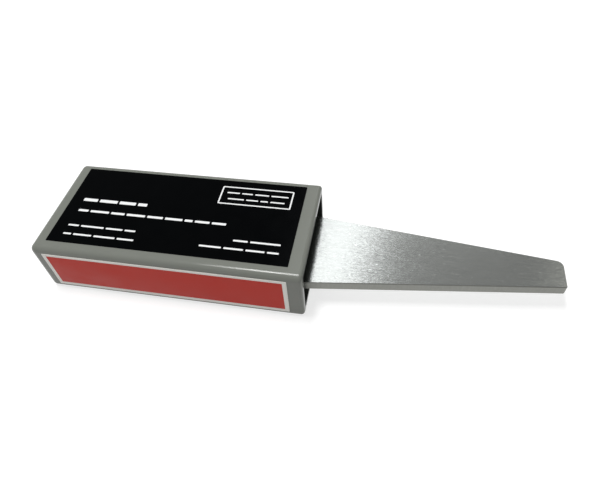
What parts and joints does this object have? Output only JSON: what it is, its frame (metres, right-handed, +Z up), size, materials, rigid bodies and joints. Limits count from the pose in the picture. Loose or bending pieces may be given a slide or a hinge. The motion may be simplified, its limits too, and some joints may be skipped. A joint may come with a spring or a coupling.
{
  "type": "degaussing wand",
  "caption": "Hand-held magnet wand: a closed grey box of strong magnets with a black top label and a red front panel, on a flat tapered brushed-metal blade.",
  "frame": {"origin": "on the underside, at the middle of the wand's outline seen from above", "axes": "+X along the wand from the closed end of the box to the blade's tip, +Y to the back, away from the red panel, +Z up out of the black label"},
  "size_m": [0.2082, 0.051, 0.0256],
  "materials": {
    "housing_paint": "satin",
    "foam": "matte",
    "liner_film": "satin",
    "cassette_aluminium": "satin",
    "magnet_nickel": "polished",
    "yoke_steel": "satin",
    "screw_steel": "satin",
    "clamp_black": "matte",
    "blade_aluminium": "satin",
    "pin_steel": "polished",
    "top_label_film": "satin",
    "side_label_film": "satin"
  },
  "bodies": {
    "root": {"housing": "housing_paint", "end_pad": "foam", "floor_liner": "liner_film", "cassette_frame": "cassette_aluminium", "magnet_north_1": "magnet_nickel", "magnet_north_2": "magnet_nickel", "magnet_north_3": "magnet_nickel", "magnet_south_1": "magnet_nickel", "magnet_south_2": "magnet_nickel", "magnet_south_3": "magnet_nickel", "yoke_plate": "yoke_steel", "yoke_screws": "screw_steel", "yoke_pad": "foam", "tang_clamp_lower": "clamp_black", "tang_clamp_upper": "clamp_black", "blade": "blade_aluminium", "clamp_screws": "screw_steel", "tang_pins": "pin_steel", "case_screws": "screw_steel", "top_label": "top_label_film", "side_label": "side_label_film"}
  },
  "joints": []
}
